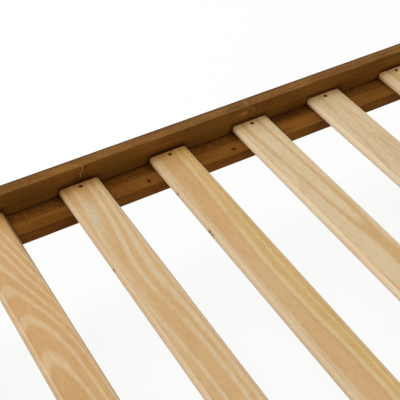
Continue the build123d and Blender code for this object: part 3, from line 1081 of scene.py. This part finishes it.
def makeSlat(name):
    shape = slatShape
    low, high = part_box(name)
    middle = (low + high) / 2
    bm = block(low, high)
    long = [edge for edge in bm.edges if runsAlong(edge, 1)]
    bevelEdges(bm, long, (high.z - low.z) / 2 - shape["roundGap"] * mm, shape["roundSegments"])
    bmesh.ops.remove_doubles(bm, verts=bm.verts, dist=shape["weld"] * mm)
    spare = Vector(shape["outlineSpare"]) * mm
    outline = block(low - spare, high + spare)
    corners = [edge for edge in outline.edges if runsAlong(edge, 2)]
    for side, radius in zip((-1, 1), shape["cornerRadius"]):
        chosen = [edge for edge in corners if edge.is_valid and (edge.verts[0].co.x - middle.x) * side > 0]
        bevelEdges(outline, chosen, radius * mm, shape["cornerSegments"])
    bm = carved(bm, outline, operation="INTERSECT")
    caps = [face for face in bm.faces if abs(face.normal.y) > shape["square"]]
    rims = {edge for face in caps for edge in face.edges}
    bevelEdges(bm, list(rims), shape["endEase"] * mm, shape["easeSegments"])
    flats = [face for face in bm.faces if max(abs(face.normal.y), abs(face.normal.z)) > shape["flatSquare"]
             and face.calc_area() > shape["flatLeast"] * mm * mm]
    bmesh.ops.inset_individual(bm, faces=flats, thickness=shape["border"] * mm, use_even_offset=True)
    cutters = [countersink(place) for place in screwPlaces() if low.x < place.x < high.x]
    for across, along, width, length in slatMarks.get(name, ()):
        if abs(across) > shape["dentsBeyond"]:
            place = Vector((across, along, 0)) + Vector(shape["dentShift"])
            cutters.append(dent(middle + place * mm))
    standIn(name, carved(bm, *cutters), nodes[name].material_slots[0].material)


for name in slatGrain:
    makeSlat(name)
print("slats made")


# ---- screws, bolts, nuts and glides

metalLook = {    # the widths and lengths of the noises are shares of the metal's grain
    "cloud": (1, 1, 4, 0),
    "scratch": (0.12, 2.5, 1, 2),
    "rubbed": (0.42, 0.66),
    "bump": (0.3, 0.04),
    "plain": {"Metallic": 1},
}

metals = {
    "bronzedScrew": {"colours": ((0.110, 0.042, 0.009), (0.19, 0.080, 0.020)), "grain": 0.9,
                     "roughness": (0.3, 0.7, 0.52, 0.72)},
    "boltSteel": {"colours": ((0.20, 0.195, 0.19), (0.27, 0.262, 0.252)), "grain": 1.2,
                  "roughness": (0.3, 0.7, 0.30, 0.50)},
    "nutSteel": {"colours": ((0.42, 0.42, 0.40), (0.50, 0.49, 0.47)), "grain": 1.2,
                 "roughness": (0.3, 0.7, 0.26, 0.46)},
}

glidePlastic = {
    "colours": ((0.055, 0.050, 0.046), (0.16, 0.15, 0.14)),
    "spark": (0.25, 0.25, 2, 0),
    "scuff": (2.5, 6, 4, 3),
    "scuffRange": (0.45, 0.65),
    "floorWear": (0.2, 1.4, 0.7, 0.1),    # by the height above the floor
    "roughness": (0.3, 0.7, 0.42, 0.62),
    "bump": (0.2, 0.06),
    "plain": {},
}

beechWood = {
    "turn": (0, 0, radians(90)),
    "colours": ((0.60, 0.42, 0.26), (0.70, 0.52, 0.34)),
    "fibre": (0.4, 9, 3, 0),
    "fibreRange": (0.35, 0.65),
    "flecks": {"width": 0.6, "length": 2.4, "share": 0.7},
    "fleckShare": 0.6,
    "fleckBrown": (0.36, 0.20, 0.10),
    "roughness": (0.3, 0.7, 0.5, 0.62),
    "bump": (0.25, 0.1),
    "plain": {},
}


def metalFinish(name):    # plated metal, rubbed brighter in places
    look = {**metalLook, **metals[name]}
    material, shader, place = newFinish(name)
    cloud, scratch = [noise(place, (width * look["grain"], length * look["grain"], *rest))
                      for width, length, *rest in (look["cloud"], look["scratch"])]
    colour = mix(*look["colours"], rise(cloud, *look["rubbed"]))
    finishSurface(shader, colour, scratch, scratch, look)
    return material


def plasticFinish(name, look):    # moulded plastic, scuffed where it stands on the floor
    material, shader, place = newFinish(name)
    across, along, height = parted(place)
    scuff = noise(place, look["scuff"])
    worn = rise(scuff, *look["scuffRange"]) * rise(height, *look["floorWear"])
    finishSurface(shader, mix(*look["colours"], worn), noise(place, look["spark"]), scuff, look)
    return material


def beechFinish(name, look):    # pale close wood with short dark flecks
    material, shader, place = newFinish(name, turn=look["turn"])
    fibre = noise(place, look["fibre"])
    colour = mix(*look["colours"], rise(fibre, *look["fibreRange"]))
    flecks = useGroup(resinMarks, place, **look["flecks"])
    colour = mix(colour, look["fleckBrown"], flecks * look["fleckShare"])
    finishSurface(shader, colour, fibre, fibre, look)
    return material


screwShape = {
    "sink": 0.5,    # head below the face of the slat
    "slat": {"radius": 1.6, "head": 3.2, "length": 24.5, "pitch": 1.7, "smooth": 5},
    "ledge": {"radius": 2, "head": 4, "length": 48, "pitch": 2.1, "smooth": 16},
    "besideSlats": (1, 4, 7, 10),    # the ledge screws stand this far from the middle of these
    "fromSlat": 16,
    "rimEase": (0.15, 0.12),
    "neck": 0.98, "shank": 0.92, "core": 0.70,    # shares of the radius
    "point": 0.4,    # of the core
    "tip": 4, "taper": 3,
    "recess": (1.12, 0.26, 0.84), "recessFoot": (0.45, 0.7, 1),    # shares of the head, of the recess
    "segments": 28,
}


def woodScrew(radius, head, length, pitch, smooth):    # head up, with the rim of its head at the origin
    shape = screwShape
    core = radius * shape["core"]
    tip = shape["tip"] - length
    inset, drop = shape["rimEase"]
    bm = turned([(0, 0), (head - inset, 0), (head, -drop), (radius * shape["neck"], radius - head),
                 (radius * shape["shank"], -smooth), (core, -smooth - 1), (core, tip),
                 (core * shape["point"], tip - shape["taper"]), (0, -length)], shape["segments"])
    half = Vector(shape["recess"]) * head * mm / 2
    blades = []
    for turn in (0, 90):
        blade = block(-half, half)
        foot = [vert for vert in blade.verts if vert.co.z < 0]
        bmesh.ops.scale(blade, vec=shape["recessFoot"], verts=foot)
        turnShape(blade, turn, "Z")
        blades.append(blade)
    bm = carved(bm, *blades)
    addThread(bm, core, radius, pitch, -smooth - 1, tip - 1)
    return bm


def makeSlatScrews(material):
    chance = random.Random(11)
    sink = Vector((0, 0, screwShape["sink"] * mm))
    places = [standing(place - sink, turn=chance.uniform(0, 2 * pi)) for place in screwPlaces()]
    standIn("slat_screws", placedCopies(woodScrew(**screwShape["slat"]), places), material)


def makeLedgeScrews(material):
    chance = random.Random(12)
    low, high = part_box("ledge_screws")
    reach = screwShape["ledge"]["length"] * mm
    places = []
    for number in screwShape["besideSlats"]:
        near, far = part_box(f"slat_{number:02d}")
        across = (near.x + far.x) / 2 + screwShape["fromSlat"] * mm
        for side, seat in ((1, high.y - reach), (-1, low.y + reach)):
            place = (across, seat, (low.z + high.z) / 2)
            places.append(standing(place, 90 * side, "X", chance.uniform(0, 2 * pi)))
    standIn("ledge_screws", placedCopies(woodScrew(**screwShape["ledge"]), places), material)


boltShape = {
    "radius": 3, "length": 81,
    "core": 2.5, "thread": 26, "pitch": 1, "tipEase": 0.7, "runOut": 0.6, "threadEnd": 1.2,
    "headRadius": 7, "headHeight": 2.5, "headEase": 0.1,
    "crown": ((0, 0.9), (0.25, 0.35), (0.9, 0)),    # in from the head's radius, down from its top
    "socketAcrossFlats": 4, "socketDepth": 1.8,
    "fromRailEdge": 15,
    "segments": 48,
}


def jointPlaces():    # where the bolts pass along each side rail: end, side and place in the rail
    places = []
    for end in (-1, 1):
        for side, rail in ((-1, "side_rail_front"), (1, "side_rail_back")):
            low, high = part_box(rail)
            inset = boltShape["fromRailEdge"] * mm
            across = (low.y + high.y) / 2
            places += [(end, side, across, height) for height in (low.z + inset, high.z - inset)]
    return places


def makeBolts(material):
    shape = boltShape
    radius, core, head, top = [shape[size] for size in ("radius", "core", "headRadius", "headHeight")]
    tip, ease, rim = -shape["length"], shape["tipEase"], shape["headEase"]
    threadTop = tip + shape["thread"]
    bm = turned([(0, tip), (core - ease, tip), (core, tip + ease), (core, threadTop),
                 (radius, threadTop + shape["runOut"]), (radius, 0), (head - rim, 0), (head, rim),
                 *[(head - inset, top - drop) for inset, drop in shape["crown"]], (0, top)],
                shape["segments"])
    socket = rod(shape["socketAcrossFlats"] / 2 / cos(radians(30)), 2 * shape["socketDepth"], 6)
    bmesh.ops.translate(socket, vec=(0, 0, top * mm), verts=socket.verts)
    bm = carved(bm, socket)
    addThread(bm, core, radius, shape["pitch"], threadTop, tip + shape["threadEnd"])
    chance = random.Random(13)
    low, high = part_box("bed_bolts")
    places = []
    for end, side, across, height in jointPlaces():
        seat = (high.x if end > 0 else low.x) - end * top * mm
        places.append(standing((seat, across, height), 90 * end, "Y", chance.uniform(0, 2 * pi)))
    standIn("bed_bolts", placedCopies(bm, places), material)


nutShape = {"radius": 5, "length": 12, "slotWidth": 1.4, "slotDepth": 1.2, "bore": 3.05, "edge": 0.4,
            "segments": 40, "boreSegments": 36, "spare": 1}


def makeNuts(material):
    radius, half, edge = nutShape["radius"], nutShape["length"] / 2, nutShape["edge"]
    bm = turned([(0, -half), (radius - edge, -half), (radius, edge - half), (radius, half - edge),
                 (radius - edge, half), (0, half)], nutShape["segments"])
    spare, slotHalf = nutShape["spare"], nutShape["slotWidth"] / 2
    slot = block(Vector((-radius - spare, -slotHalf, half - nutShape["slotDepth"])) * mm,
                 Vector((radius + spare, slotHalf, half + spare)) * mm)
    bore = rod(nutShape["bore"], 4 * radius, nutShape["boreSegments"])
    turnShape(bore, 90, "Y")
    bm = carved(bm, slot, bore)
    low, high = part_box("barrel_nuts")
    places = []
    for end, side, across, height in jointPlaces():
        middle = high.x - radius * mm if end > 0 else low.x + radius * mm
        places.append(standing((middle, across, height), 90 * side))
    standIn("barrel_nuts", placedCopies(bm, places), material)


glideShape = {
    "radius": 14, "thickness": 3,
    "foot": ((1.6, 0), (0.9, 0.1), (0.25, 0.5), (0, 1.2)),    # in from the radius, up from the floor
    "topEase": 0.3,
    "pinRadius": 1.5, "pinLength": 16, "pinPoint": 2,
    "segments": 56,
}


def makeGlides(material):
    shape = glideShape
    radius, thickness, pin, ease = [shape[size] for size in ("radius", "thickness", "pinRadius", "topEase")]
    top = thickness + shape["pinLength"]
    bm = turned([(0, 0), *[(radius - inset, height) for inset, height in shape["foot"]],
                 (radius, thickness - ease), (radius - ease, thickness), (pin, thickness),
                 (pin, top - shape["pinPoint"]), (0, top)], shape["segments"])
    places = []
    for name in stainedGrain:
        if name.startswith("post"):
            low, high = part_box(name)
            places.append(standing(((low.x + high.x) / 2, (low.y + high.y) / 2, 0)))
    standIn("floor_glides", placedCopies(bm, places), material)


bronzed = metalFinish("bronzedScrew")
makeSlatScrews(bronzed)
makeLedgeScrews(bronzed)
makeBolts(metalFinish("boltSteel"))
makeNuts(metalFinish("nutSteel"))
makeGlides(plasticFinish("glidePlastic", glidePlastic))
for name in ("side_rail_dowels", "end_rail_dowels"):
    dress(name, beechFinish("beech", beechWood))
print("fastenings made")
